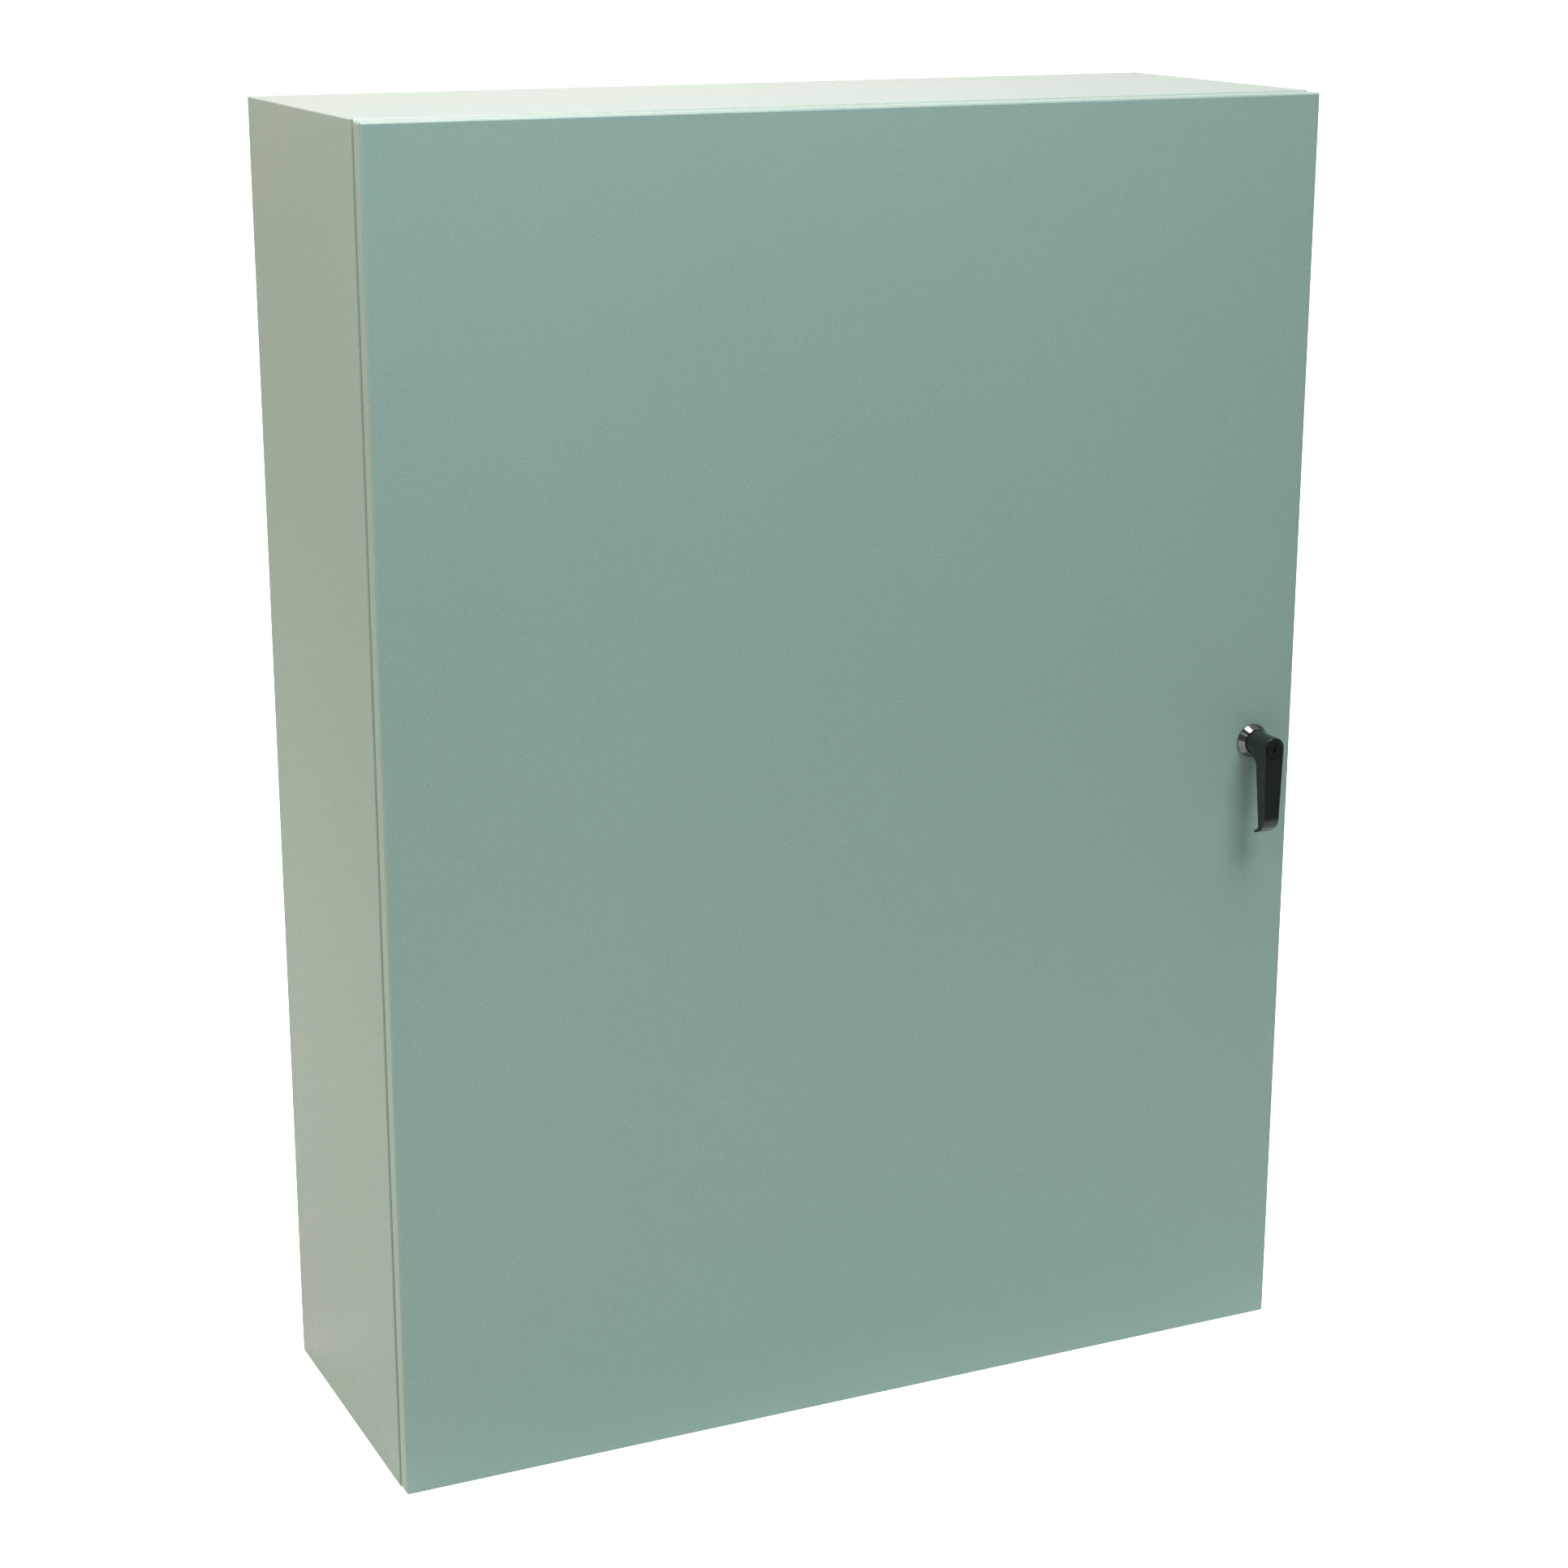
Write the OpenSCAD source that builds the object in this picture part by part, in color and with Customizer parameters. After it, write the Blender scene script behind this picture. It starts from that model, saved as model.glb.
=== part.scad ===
// Wall-mounted industrial switchboard cabinet: welded sheet-steel body, hinged door with a
// three-point latch, and a mounting panel that carries the switchgear.
// Millimetres. X runs along the width, -Y is the door side, +Z is up.
// The origin is the centre of the body's footprint, on its underside.

/* [Body] */
// Width over the side panels
cabinet_w = 914.4; // [880:0.1:1000]
// Height over the top and bottom panels
cabinet_h = 1219.2; // [1200:0.1:1400]
// Depth of the body without its door
body_d = 304.8; // [290:0.1:400]
// Thickness of the body and door sheet
sheet_t = 2; // [1.5:0.1:2]
// Inside radius of a sheet bend
bend_r = 1.5; // [1:0.1:2]
// Width of the front flange at the top, the bottom and the latch side
flange_w = 16; // [14:0.5:16]
// Width of the front flange at the hinge side
hinge_flange_w = 46; // [46:0.5:52]
// Height of the sealing lip that stands forward from the flange
lip_h = 12; // [10:0.5:12]

/* [Door] */
// Depth of the door's returned edge
door_depth = 15; // [15:0.1:16]
// Gap between the door's edge and the body
door_gap = 5.6; // [5.6:0.1:7]
// How far the door's outline stays inside the body's, top and bottom
door_inset = 1; // [0.5:0.1:2]
// Outside radius of the door's folded edges
door_edge_r = 3; // [2.5:0.1:4]
// Width of the foamed gasket
gasket_w = 12; // [10:0.5:14]
// Number of hinges
hinge_count = 3; // [2:1:4]

/* [Handle] */
// Distance of the handle's axis from the latch edge
handle_edge = 44.45; // [43:0.05:60]
// How far the handle's face stands off the door
handle_out = 40; // [40:0.5:44]
// Length of the lever from its axis to its tip
lever_len = 86; // [80:0.5:100]
// Half the width of the lever's head
head_r = 10.7; // [10.2:0.1:11]

/* [Latch] */
// Radius of the crank pins that move the rods
crank_r = 16; // [15:0.5:16]
// Diameter of the rollers on the rod ends
roller_d = 14; // [12:0.5:14]

/* [Switchgear] */
// Width of the mounting panel
panel_w = 838.2; // [800:0.1:840]
// Height of the mounting panel
panel_h = 1143; // [1100:1:1150]
// Number of branch breakers on the upper rail
branch_count = 6; // [6:1:6]
// Number of terminal blocks on the lower rail
terminal_count = 24; // [6:1:40]

/* [Hidden] */
$fn = 64;

half_w = cabinet_w / 2;
mid_z = cabinet_h / 2;
front_y = -body_d / 2;
back_y = body_d / 2;
door_back_y = front_y - door_gap;
door_front_y = door_back_y - door_depth;
door_in_y = door_front_y + sheet_t;
lip_tip_y = front_y - lip_h;
edge_r = 1.5;
fit = 0.05;
far = 2000;

paint = [0.62, 0.70, 0.63];
zinc = [0.72, 0.73, 0.74];
black = [0.09, 0.09, 0.09];
white = [0.93, 0.93, 0.91];
copper = [0.78, 0.46, 0.30];
plastic = [0.62, 0.64, 0.66];

// ---------------------------------------------------------------- outlines

function unit(v) = v / norm(v);
function left_of(v) = [-v.y, v.x];
function turns_left(a, b, c) = (b - a).x * (c - b).y - (b - a).y * (c - b).x > 0;

// Points of a fillet of radius r at corner b of the line a-b-c.
function fillet(a, b, c, r, n = 6) =
    r <= 0 ? [b] :
    let (u = unit(a - b), w = unit(c - b),
         half = acos(max(-1, min(1, u * w))) / 2,
         centre = b + unit(u + w) * r / sin(half),
         from = b + u * r / tan(half) - centre,
         to = b + w * r / tan(half) - centre,
         start = atan2(from.y, from.x),
         sweep = (atan2(to.y, to.x) - start + 540) % 360 - 180)
    [for (k = [0:n]) centre + r * [cos(start + sweep * k / n), sin(start + sweep * k / n)]];

// A closed outline whose corners have the given radii.
function rounded(points, radii) =
    let (n = len(points))
    [for (i = [0:n - 1])
        each fillet(points[(i + n - 1) % n], points[i], points[(i + 1) % n], radii[i])];

function rect(x0, y0, x1, y1) = [[x0, y0], [x1, y0], [x1, y1], [x0, y1]];
function round_rect(x0, y0, x1, y1, r) = rounded(rect(x0, y0, x1, y1), [r, r, r, r]);

// The same line moved t to the left of its direction.
function moved_left(path, t) =
    let (last = len(path) - 1)
    [for (i = [0:last])
        i == 0 ? path[0] + left_of(unit(path[1] - path[0])) * t :
        i == last ? path[last] + left_of(unit(path[last] - path[last - 1])) * t :
        let (n1 = left_of(unit(path[i] - path[i - 1])),
             n2 = left_of(unit(path[i + 1] - path[i])))
        path[i] + (n1 + n2) * t / (1 + n1 * n2)];

// One side of a bent strip, with its corners rounded by what the other side needs.
function strip_side(line, path, r_left, r_right) =
    let (last = len(path) - 1)
    [for (i = [0:last])
        each (i == 0 || i == last ? [line[i]] :
              fillet(line[i - 1], line[i], line[i + 1],
                     turns_left(path[i - 1], path[i], path[i + 1]) ? r_left : r_right))];

// Cross-section of sheet of thickness t, bent along a path. The sheet lies left of the path.
function bent_strip(path, t, r) =
    let (near = strip_side(path, path, r + t, r),
         away = strip_side(moved_left(path, t), path, r, r + t))
    concat(near, [for (i = [len(away) - 1:-1:0]) away[i]]);

// ---------------------------------------------------------------- extrusions

// A (y, z) outline swept from x0 to x1.
module along_x(x0, x1) {
    translate([x0, 0, 0]) rotate([90, 0, 90]) linear_extrude(x1 - x0) children();
}

// An (x, z) outline swept from y0 to y1.
module along_y(y0, y1) {
    translate([0, y1, 0]) rotate([90, 0, 0]) linear_extrude(y1 - y0) children();
}

// An (x, y) outline swept from z0 to z1.
module along_z(z0, z1) {
    translate([0, 0, z0]) linear_extrude(z1 - z0) children();
}

module block(low, high) {
    translate(low) cube(high - low);
}

// A round bar or hole along Y, from y0 to y1.
module bar_y(x, z, y0, y1, r) {
    translate([x, y1, z]) rotate([90, 0, 0]) cylinder(h = y1 - y0, r = r);
}

module bar_x(y, z, x0, x1, r) {
    translate([x0, y, z]) rotate([0, 90, 0]) cylinder(h = x1 - x0, r = r);
}

module bar_z(x, y, z0, z1, r) {
    translate([x, y, z0]) cylinder(h = z1 - z0, r = r);
}

// A hexagonal prism along Y.
module hex_y(x, z, y0, y1, across) {
    translate([x, y1, z]) rotate([90, 0, 0]) cylinder(h = y1 - y0, r = across / sqrt(3), $fn = 6);
}

module hex_z(x, y, z0, z1, across) {
    translate([x, y, z0]) cylinder(h = z1 - z0, r = across / sqrt(3), $fn = 6);
}

// Children at both ends of the height: as drawn at the top, and mirrored at the bottom.
module top_and_bottom() {
    children();
    translate([0, 0, cabinet_h]) mirror([0, 0, 1]) children();
}

// ---------------------------------------------------------------- body

wall_hole_r = 5.55;
wall_hole_x = half_w - 25.4;
wall_hole_z = [25.4, cabinet_h - 25.4];

module back_panel() color(paint) difference() {
    block([-half_w + sheet_t, back_y - sheet_t, sheet_t],
          [half_w - sheet_t, back_y, cabinet_h - sheet_t]);
    for (x = [-wall_hole_x, wall_hole_x], z = wall_hole_z)
        bar_y(x, z, back_y - sheet_t - 1, back_y + 1, wall_hole_r);
}

// A side panel drawn at the left, with a front flange fw wide and its sealing lip.
module side_panel(fw) intersection() {
    difference() {
        along_z(0, cabinet_h)
            polygon(bent_strip([[-half_w, back_y], [-half_w, front_y],
                                [-half_w + fw, front_y], [-half_w + fw, lip_tip_y]],
                               sheet_t, bend_r));
        top_and_bottom() {
            block([-half_w + sheet_t, lip_tip_y - 1, cabinet_h - flange_w],
                  [0, front_y + 20, cabinet_h + 1]);
            block([-half_w + fw, lip_tip_y - 1, cabinet_h - flange_w - sheet_t],
                  [0, front_y + 20, cabinet_h + 1]);
        }
    }
    along_y(lip_tip_y - 1, back_y) polygon(round_rect(-half_w, 0, half_w, cabinet_h, edge_r));
    along_z(0, cabinet_h)
        polygon(rounded(rect(-half_w, lip_tip_y - 1, half_w, back_y), [0, 0, edge_r, edge_r]));
}

module left_side_panel() color(paint) difference() {
    side_panel(hinge_flange_w);
    for (z = hinge_z, dz = [-1, 1])
        bar_y(hinge_screw_x, z + dz * hinge_screw_dz, front_y - 1, front_y + sheet_t + 1,
              hinge_screw_r + fit);
}

module right_side_panel() color(paint) mirror([1, 0, 0]) side_panel(flange_w);

module top_shape() intersection() {
    difference() {
        along_x(-half_w + sheet_t, half_w - sheet_t)
            polygon(bent_strip([[back_y, cabinet_h], [front_y, cabinet_h],
                                [front_y, cabinet_h - flange_w],
                                [lip_tip_y, cabinet_h - flange_w]],
                               sheet_t, bend_r));
        block([-half_w - 1, lip_tip_y - 1, 0], [-half_w + hinge_flange_w, front_y, far]);
        block([half_w - flange_w, lip_tip_y - 1, 0], [half_w + 1, front_y, far]);
        block([-half_w - 1, lip_tip_y - 1, 0],
              [-half_w + hinge_flange_w, front_y + 20, cabinet_h - flange_w]);
        block([half_w - flange_w, lip_tip_y - 1, 0],
              [half_w + 1, front_y + 20, cabinet_h - flange_w]);
    }
    along_x(-half_w, half_w)
        polygon(rounded(rect(lip_tip_y - 1, 0, back_y, cabinet_h), [0, 0, edge_r, 0]));
}

module top_panel() color(paint) top_shape();

gland_x = 280;
gland_y = [10, 130];
gland_rim = 20;
gland_screw_r = 3;
gland_screws = [for (x = [-290, -100, 100, 290], y = [0, 140]) [x, y]];
gland_gasket_t = 2;
gland_plate_z = sheet_t + gland_gasket_t;

module bottom_panel() color(paint) difference() {
    translate([0, 0, cabinet_h]) mirror([0, 0, 1]) top_shape();
    along_z(-1, sheet_t + 1)
        polygon(round_rect(-gland_x, gland_y[0], gland_x, gland_y[1], 8));
    for (p = gland_screws)
        bar_z(p.x, p.y, -1, sheet_t + 1, gland_screw_r + fit);
}

module gland_outline() {
    polygon(round_rect(-gland_x - gland_rim, gland_y[0] - gland_rim,
                       gland_x + gland_rim, gland_y[1] + gland_rim - 2, 6));
}

module gland_plate() color(zinc) difference() {
    along_z(gland_plate_z, gland_plate_z + 2) gland_outline();
    for (p = gland_screws)
        bar_z(p.x, p.y, 0, 10, gland_screw_r + 0.4);
}

module gland_plate_gasket() color(black) difference() {
    along_z(sheet_t, gland_plate_z) gland_outline();
    along_z(0, 10) polygon(round_rect(-gland_x, gland_y[0], gland_x, gland_y[1], 8));
    for (p = gland_screws)
        bar_z(p.x, p.y, 0, 10, gland_screw_r + 0.4);
}

module gland_plate_screws() color(zinc) for (p = gland_screws) {
    bar_z(p.x, p.y, 0.4, gland_plate_z + 3, gland_screw_r);
    bar_z(p.x, p.y, gland_plate_z + 2, gland_plate_z + 3.2, 6.5);
    hex_z(p.x, p.y, gland_plate_z + 3.2, gland_plate_z + 7.2, 10);
}

// ---------------------------------------------------------------- mounting panel

panel_t = 2.5;
panel_y = back_y - 34.4;
panel_stud_x = 393.7;
panel_stud_dz = 546.1;
panel_stud_r = 4.9;

module at_panel_studs() {
    for (x = [-panel_stud_x, panel_stud_x], dz = [-panel_stud_dz, panel_stud_dz])
        translate([x, 0, mid_z + dz]) children();
}

module panel_studs() color(zinc) at_panel_studs() {
    bar_y(0, 0, panel_y + panel_t, back_y - sheet_t, 8);
    bar_y(0, 0, panel_y - 14, panel_y + panel_t + 1, panel_stud_r);
}

module panel_nuts() color(zinc) at_panel_studs() difference() {
    union() {
        bar_y(0, 0, panel_y - 1.5, panel_y, 10.5);
        hex_y(0, 0, panel_y - 9, panel_y - 1.5, 16);
    }
    bar_y(0, 0, panel_y - 10, panel_y + 1, panel_stud_r + fit);
}

module mounting_panel() color(white) difference() {
    along_z(mid_z - panel_h / 2, mid_z + panel_h / 2)
        polygon(bent_strip([[-panel_w / 2, panel_y + 12], [-panel_w / 2, panel_y],
                            [panel_w / 2, panel_y], [panel_w / 2, panel_y + 12]],
                           panel_t, bend_r));
    at_panel_studs() bar_y(0, 0, panel_y - 1, panel_y + panel_t + 1, 5.5);
}

// ---------------------------------------------------------------- hinges

pivot_x = -half_w + 9;
pivot_y = door_front_y + 8;
hinge_z = [for (i = [0:hinge_count - 1]) 140 + i * (cabinet_h - 280) / (hinge_count - 1)];
pin_r = 2.5;
knuckle_r = 4.5;
knuckle_h = 12;
leaf_half_h = 25;
hinge_screw_x = pivot_x + 26;
hinge_screw_dz = 15;
hinge_screw_r = 2.5;
leaf_foot_y = front_y - 3;

// The leaf on the frame reaches forward round the door's edge to the pin.
module frame_leaf() difference() {
    union() {
        bar_z(pivot_x, pivot_y, -knuckle_h, knuckle_h, knuckle_r);
        along_z(-knuckle_h, knuckle_h)
            polygon(bent_strip([[pivot_x, pivot_y - 1.5], [pivot_x + 17.5, pivot_y - 1.5],
                                [pivot_x + 17.5, leaf_foot_y + 1.5]], 3, 1));
        block([pivot_x + 14.5, leaf_foot_y, -leaf_half_h],
              [pivot_x + 35, front_y, leaf_half_h]);
    }
    bar_z(pivot_x, pivot_y, -knuckle_h - 1, knuckle_h + 1, pin_r + fit);
    for (dz = [-1, 1])
        bar_y(hinge_screw_x, dz * hinge_screw_dz, leaf_foot_y - 1, front_y + 1,
              hinge_screw_r + 0.2);
}

module hinge_frame_leaves() color(zinc) for (z = hinge_z) translate([0, 0, z]) frame_leaf();

// The leaf on the door is welded to the skin and carries the outer two knuckles.
module door_leaf() difference() {
    union() {
        block([pivot_x + 8, door_in_y, -leaf_half_h],
              [pivot_x + 30, door_in_y + 2.5, leaf_half_h]);
        for (side = [-1, 1]) {
            z0 = side > 0 ? knuckle_h + 0.5 : -leaf_half_h;
            z1 = side > 0 ? leaf_half_h : -knuckle_h - 0.5;
            block([pivot_x, door_in_y, z0], [pivot_x + 9, door_in_y + 2.5, z1]);
            bar_z(pivot_x, pivot_y, z0, z1, knuckle_r);
        }
    }
    bar_z(pivot_x, pivot_y, -leaf_half_h - 1, leaf_half_h + 1, pin_r + fit);
}

module hinge_door_leaves() color(zinc) for (z = hinge_z) translate([0, 0, z]) door_leaf();

module hinge_pins() color(zinc) for (z = hinge_z) translate([pivot_x, pivot_y, z]) {
    cylinder(h = 2 * leaf_half_h + 4, r = pin_r, center = true);
    translate([0, 0, leaf_half_h + 0.5]) cylinder(h = 2.5, r = 4);
}

module hinge_screws() color(zinc) for (z = hinge_z, dz = [-1, 1])
    translate([0, 0, z + dz * hinge_screw_dz]) difference() {
        union() {
            bar_y(hinge_screw_x, 0, leaf_foot_y - 1, front_y + 8, hinge_screw_r);
            bar_y(hinge_screw_x, 0, leaf_foot_y - 3, leaf_foot_y, 4.6);
        }
        hex_y(hinge_screw_x, 0, leaf_foot_y - 4, leaf_foot_y - 1, 4);
    }

// An earthing stud along +Z from a sheet's face, with its washer and nut; a groove parts its free end.
module ground_stud(length) {
    nut_z = 6.5;
    cylinder(r = 2.9, h = nut_z);
    translate([0, 0, nut_z]) cylinder(r = 2.5, h = 1);
    translate([0, 0, nut_z + 1]) cylinder(r = 2.9, h = length - nut_z - 1);
    difference() {
        union() {
            bar_z(0, 0, 0, 1.5, 7.5);
            hex_z(0, 0, 1.5, nut_z, 10);
        }
        bar_z(0, 0, -1, nut_z + 1, 2.9 + fit);
    }
}

// The stud welded to the bottom panel.
module body_ground_stud() color(copper)
    translate([-half_w + 70, front_y + 60, sheet_t]) ground_stud(26);

// ---------------------------------------------------------------- door

handle_x = half_w - handle_edge;
handle_z = mid_z;
sleeve_r = 9;

module door_envelope(inset, depth_inset, r) intersection() {
    z0 = door_inset + inset;
    z1 = cabinet_h - door_inset - inset;
    x0 = -half_w + inset;
    x1 = half_w - inset;
    y0 = door_front_y + depth_inset;
    y1 = door_back_y + (inset > 0 ? 1 : 0);
    along_y(y0, y1) polygon(round_rect(x0, z0, x1, z1, r));
    along_z(z0, z1) polygon(rounded(rect(x0, y0, x1, y1), [r, r, 0, 0]));
    along_x(x0, x1) polygon(rounded(rect(y0, z0, y1, z1), [r, 0, 0, r]));
}

module door_skin() color(paint) difference() {
    door_envelope(0, 0, door_edge_r);
    door_envelope(sheet_t, sheet_t, door_edge_r - sheet_t);
    bar_y(handle_x, handle_z, door_front_y - 1, door_in_y + 1, sleeve_r + 0.2);
}

stiffener_x = 200;
stiffener_w = 44;
stiffener_depth = 12;

module door_stiffeners() color(paint) for (x = [-stiffener_x, stiffener_x])
    translate([x, 0, 0]) along_z(60, cabinet_h - 60)
        polygon(bent_strip([[-stiffener_w / 2, door_in_y + 1.5],
                            [-stiffener_w / 2 + 12, door_in_y + 1.5],
                            [-stiffener_w / 2 + 12, door_in_y + stiffener_depth],
                            [stiffener_w / 2 - 12, door_in_y + stiffener_depth],
                            [stiffener_w / 2 - 12, door_in_y + 1.5],
                            [stiffener_w / 2, door_in_y + 1.5]], -1.5, 1));

lip_mid = flange_w + sheet_t / 2;
hinge_lip_mid = hinge_flange_w + sheet_t / 2;

module gasket_outline(grow, r) {
    polygon(round_rect(-half_w + hinge_lip_mid - grow, lip_mid - grow,
                       half_w - lip_mid + grow, cabinet_h - lip_mid + grow, r));
}

module door_gasket() color(black) along_y(door_in_y, lip_tip_y - 0.3) difference() {
    gasket_outline(gasket_w / 2, 8);
    gasket_outline(-gasket_w / 2, 3);
}

pocket_w = 300;
pocket_z = [330, 590];
pocket_d = 22;
pocket_t = 2;

module document_pocket() color(plastic) difference() {
    along_y(door_in_y, door_in_y + pocket_d)
        polygon(rounded(rect(-pocket_w / 2, pocket_z[0], pocket_w / 2, pocket_z[1]),
                        [8, 8, 3, 3]));
    along_y(door_in_y + pocket_t, door_in_y + pocket_d - pocket_t)
        polygon(rounded(rect(-pocket_w / 2 + pocket_t, pocket_z[0] + pocket_t,
                             pocket_w / 2 - pocket_t, pocket_z[1] + 20), [6, 6, 0, 0]));
    along_y(door_in_y + pocket_t, door_in_y + pocket_d + 1)
        polygon(rounded([[-90, pocket_z[1] - 60], [90, pocket_z[1] - 60],
                         [120, pocket_z[1] + 20], [-120, pocket_z[1] + 20]],
                        [20, 20, 0, 0]));
}

// The stud welded to the door's inner face.
module door_ground_stud() color(copper)
    translate([-half_w + 80, door_in_y, 60]) rotate([-90, 0, 0]) ground_stud(20);

// ---------------------------------------------------------------- handle

spindle_r = 6;
housing_h = 6.6;
gasket_t = 1;
hub_out = gasket_t + housing_h + 0.5;
hub_y = door_front_y - hub_out;
lever_y = door_front_y - handle_out;
bore_end_y = lever_y + 13;
cam_y = front_y + 3.4;
cam_t = 4;
square = 8;

// A solid of revolution about the handle's axis: points are (radius, distance in front of the door).
module on_handle_axis(points) {
    translate([handle_x, door_front_y, handle_z]) rotate([90, 0, 0])
        rotate_extrude() polygon(points);
}

// The plated cone and the threaded sleeve that goes through the door.
module handle_housing() color(zinc) on_handle_axis([
    [spindle_r + fit, -11],
    [sleeve_r, -11],
    [sleeve_r, gasket_t],
    [16.2, gasket_t],
    [16.2, gasket_t + 1],
    [12, gasket_t + housing_h],
    [spindle_r + fit, gasket_t + housing_h]
]);

module handle_gasket() color(black) on_handle_axis([
    [sleeve_r + 0.1, 0], [15.6, 0], [15.6, gasket_t], [sleeve_r + 0.1, gasket_t]
]);

module housing_nut() color(zinc) difference() {
    union() {
        bar_y(handle_x, handle_z, door_in_y, door_in_y + 1.2, 15);
        hex_y(handle_x, handle_z, door_in_y + 1.2, door_in_y + 7, 26);
    }
    bar_y(handle_x, handle_z, door_in_y - 1, door_in_y + 10, sleeve_r + fit);
}

head_rise = 1;
head_top = head_r + head_rise + 1;
tip_half_w = 8.2;

// Side outline of the lever: (y, z) from the axis on the door's face, y negative in front.
function lever_side() = rounded(
    [[-handle_out, head_top], [-handle_out, -lever_len + 8], [-23.2, -lever_len],
     [-22.9, -lever_len + 2.8], [-30.4, -lever_len + 6.7], [-24, -10.6], [-15, -10.2],
     [-15, head_top]],
    [0, 14, 1.2, 1, 5, 8, 0, 0]);

// Front outline of the lever: (x, z) from the axis; the round head sits a little above it.
function lever_front() = concat(
    [for (a = [180:-7.5:0]) [head_r * cos(a), head_r * sin(a) + head_rise]],
    fillet([head_r, head_rise], [tip_half_w, -lever_len], [-tip_half_w, -lever_len], 2.5),
    fillet([tip_half_w, -lever_len], [-tip_half_w, -lever_len], [-head_r, head_rise], 2.5));

module handle_lever() color(black) difference() {
    union() {
        translate([handle_x, 0, handle_z]) intersection() {
            translate([0, door_front_y, 0]) along_x(-20, 20) polygon(lever_side());
            along_y(lever_y, hub_y) polygon(lever_front());
        }
        on_handle_axis([[0, hub_out], [head_r + 0.8, hub_out], [head_r + 0.3, hub_out + 14],
                        [head_r - 1, hub_out + 21], [0, hub_out + 21]]);
    }
    bar_y(handle_x, handle_z, bore_end_y, hub_y + 1, spindle_r + fit);
    bar_y(handle_x, handle_z, lever_y - 1, lever_y + 10, 8.3);
}

module handle_spindle() color(zinc) {
    bar_y(handle_x, handle_z, bore_end_y + 0.2, cam_y - 2, spindle_r);
    block([handle_x - square / 2, cam_y - 3, handle_z - square / 2],
          [handle_x + square / 2, cam_y + cam_t, handle_z + square / 2]);
}

module lock_plug() color(zinc) difference() {
    bar_y(handle_x, handle_z, lever_y - 0.6, lever_y + 9.8, 8.2);
    block([handle_x - 0.8, lever_y - 1, handle_z - 3.6],
          [handle_x + 0.8, lever_y + 6, handle_z + 3.6]);
}

// ---------------------------------------------------------------- latch

pin_x = crank_r * cos(45);
crank_pin_r = 3;
link_y = cam_y + cam_t + 1;
link_t = 3;
rod_half_y = 6;
rod_mid_y = front_y + sheet_t + 0.4 + roller_d / 2;
rod_x = 14;
rod_half_t = 2;
rod_end_z = cabinet_h - sheet_t - 2;
roller_z = rod_end_z - 6;

module latch_cam() color(zinc) translate([handle_x, 0, handle_z]) {
    difference() {
        along_y(cam_y, cam_y + cam_t) union() {
            circle(r = 12);
            for (a = [45, 225]) rotate(a) translate([0, -4.5]) square([crank_r, 9]);
            for (s = [-1, 1]) translate([s * pin_x, s * pin_x]) circle(r = 5.5);
            polygon(rounded([[0, -6.5], [34, -5], [34, 5], [0, 6.5]], [0, 3, 3, 0]));
        }
        block([-square / 2 - fit, cam_y - 1, -square / 2 - fit],
              [square / 2 + fit, cam_y + cam_t + 1, square / 2 + fit]);
    }
    for (s = [-1, 1]) bar_y(s * pin_x, s * pin_x, cam_y + 1, link_y + link_t + 2, crank_pin_r);
}

module cam_screw() color(zinc) {
    bar_y(handle_x, handle_z, cam_y + cam_t, cam_y + cam_t + 1, 5);
    hex_y(handle_x, handle_z, cam_y + cam_t + 1, cam_y + cam_t + 4.5, 8);
}

// The upper rod: a slotted link behind the cam, and a bar on edge that runs to the top flange.
module rod() {
    difference() {
        along_y(link_y, link_y + link_t)
            polygon(rounded(rect(5.6, 4, 24, 62), [3, 3, 3, 3]));
        along_y(link_y - 1, link_y + link_t + 1)
            polygon(rounded(rect(pin_x - crank_pin_r - 0.5, pin_x - crank_pin_r - 0.8,
                                 crank_r + crank_pin_r + 0.5, pin_x + crank_pin_r + 0.8),
                            [2, 2, 2, 2]));
    }
    difference() {
        along_x(rod_x - rod_half_t, rod_x + rod_half_t)
            polygon(rounded(rect(rod_mid_y - rod_half_y, 48,
                                 rod_mid_y + rod_half_y, rod_end_z - handle_z), [2, 2, 5, 5]));
        bar_x(rod_mid_y, roller_z - handle_z, 0, 30, 2.5);
    }
}

module roller_pin() {
    bar_x(rod_mid_y, roller_z - handle_z, 3, rod_x + rod_half_t, 2.5);
    bar_x(rod_mid_y, roller_z - handle_z, 1.4, 3.1, 4);
    bar_x(rod_mid_y, roller_z - handle_z, rod_x + rod_half_t, rod_x + rod_half_t + 1.2, 4);
}

module roller() difference() {
    bar_x(rod_mid_y, roller_z - handle_z, 3.4, rod_x - rod_half_t - 0.4, roller_d / 2);
    bar_x(rod_mid_y, roller_z - handle_z, 0, rod_x, 2.5 + fit);
}

module at_upper() translate([handle_x, 0, handle_z]) children();
module at_lower() translate([handle_x, 0, handle_z]) rotate([0, 180, 0]) children();

module upper_rod() color(zinc) at_upper() rod();
module upper_roller_pin() color(zinc) at_upper() roller_pin();
module upper_roller() color(white) at_upper() roller();
module lower_rod() color(zinc) at_lower() rod();
module lower_roller_pin() color(zinc) at_lower() roller_pin();
module lower_roller() color(white) at_lower() roller();

guide_z = [120, cabinet_h / 2 - 150];

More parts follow.
